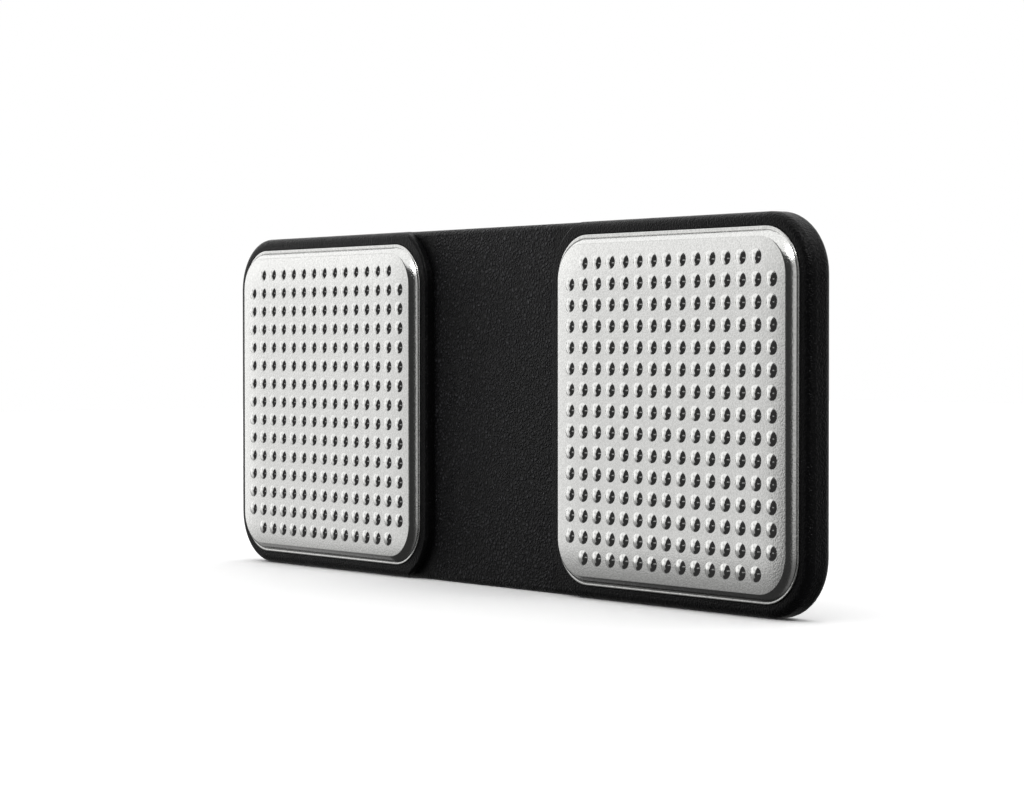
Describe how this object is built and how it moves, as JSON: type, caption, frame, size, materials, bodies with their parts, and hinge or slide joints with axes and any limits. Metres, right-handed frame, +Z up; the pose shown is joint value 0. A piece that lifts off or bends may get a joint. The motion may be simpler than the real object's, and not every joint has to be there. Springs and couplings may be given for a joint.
{
  "type": "ecg home monitor",
  "caption": "Pocket heart-rhythm monitor: a slim bar with two square dotted metal electrodes, a recessed grained middle and a coin-cell door in the back.",
  "frame": {"origin": "middle of the foot of the body, at the bottom of the box round the whole part, as the device stands on its long edge", "axes": "+X along the body's length, towards the electrode with the battery door behind it; -Y out of the front, the side with the electrodes, and +Y out of the flat back; +Z up the face, with the device standing on its long edge"},
  "size_m": [0.082, 0.0035, 0.032],
  "materials": {
    "black_plastic": "moulded polycarbonate and ABS, fine leather-like grain",
    "electrode_steel": "bead-blasted stainless steel with polished rolled rims and dots",
    "adhesive_film": "translucent double-sided film",
    "foam": "closed-cell foam",
    "spring_bronze": "sprung bronze strip, gold flash",
    "board_laminate": "glass laminate under green solder mask",
    "chip_resin": "moulded epoxy",
    "crystal_can": "plated steel can",
    "component_ceramic": "fired ceramic with tinned ends",
    "cell_steel": "nickel-plated steel",
    "seal_nylon": "natural nylon",
    "sounder_brass": "rolled brass",
    "sounder_ceramic": "fired ceramic, silvered",
    "lead_insulation": "soft insulated wire"
  },
  "bodies": {
    "body": {"front_housing": "black_plastic", "rear_cover": "black_plastic", "cover_bond": "adhesive_film", "left_electrode": "electrode_steel", "right_electrode": "electrode_steel", "left_adhesive": "adhesive_film", "right_adhesive": "adhesive_film", "left_electrode_contact": "spring_bronze", "right_electrode_contact": "spring_bronze", "circuit_board": "board_laminate", "microcontroller": "chip_resin", "amplifier": "chip_resin", "timing_crystal": "crystal_can", "small_components": "component_ceramic", "cell_can": "cell_steel", "cell_cap": "cell_steel", "cell_seal": "seal_nylon", "positive_contact": "spring_bronze", "negative_contact": "spring_bronze", "sounder_brass": "sounder_brass", "sounder_ceramic": "sounder_ceramic", "sounder_leads": "lead_insulation"},
    "door": {"battery_door": "black_plastic", "door_pad": "foam"}
  },
  "joints": [
    {"name": "door_swing", "type": "hinge", "parent": "body", "child": "door", "pos_m": [0.03582, 0.00175, 0.016], "axis": [0, 0, -1], "range_deg": [0, 65]}
  ]
}
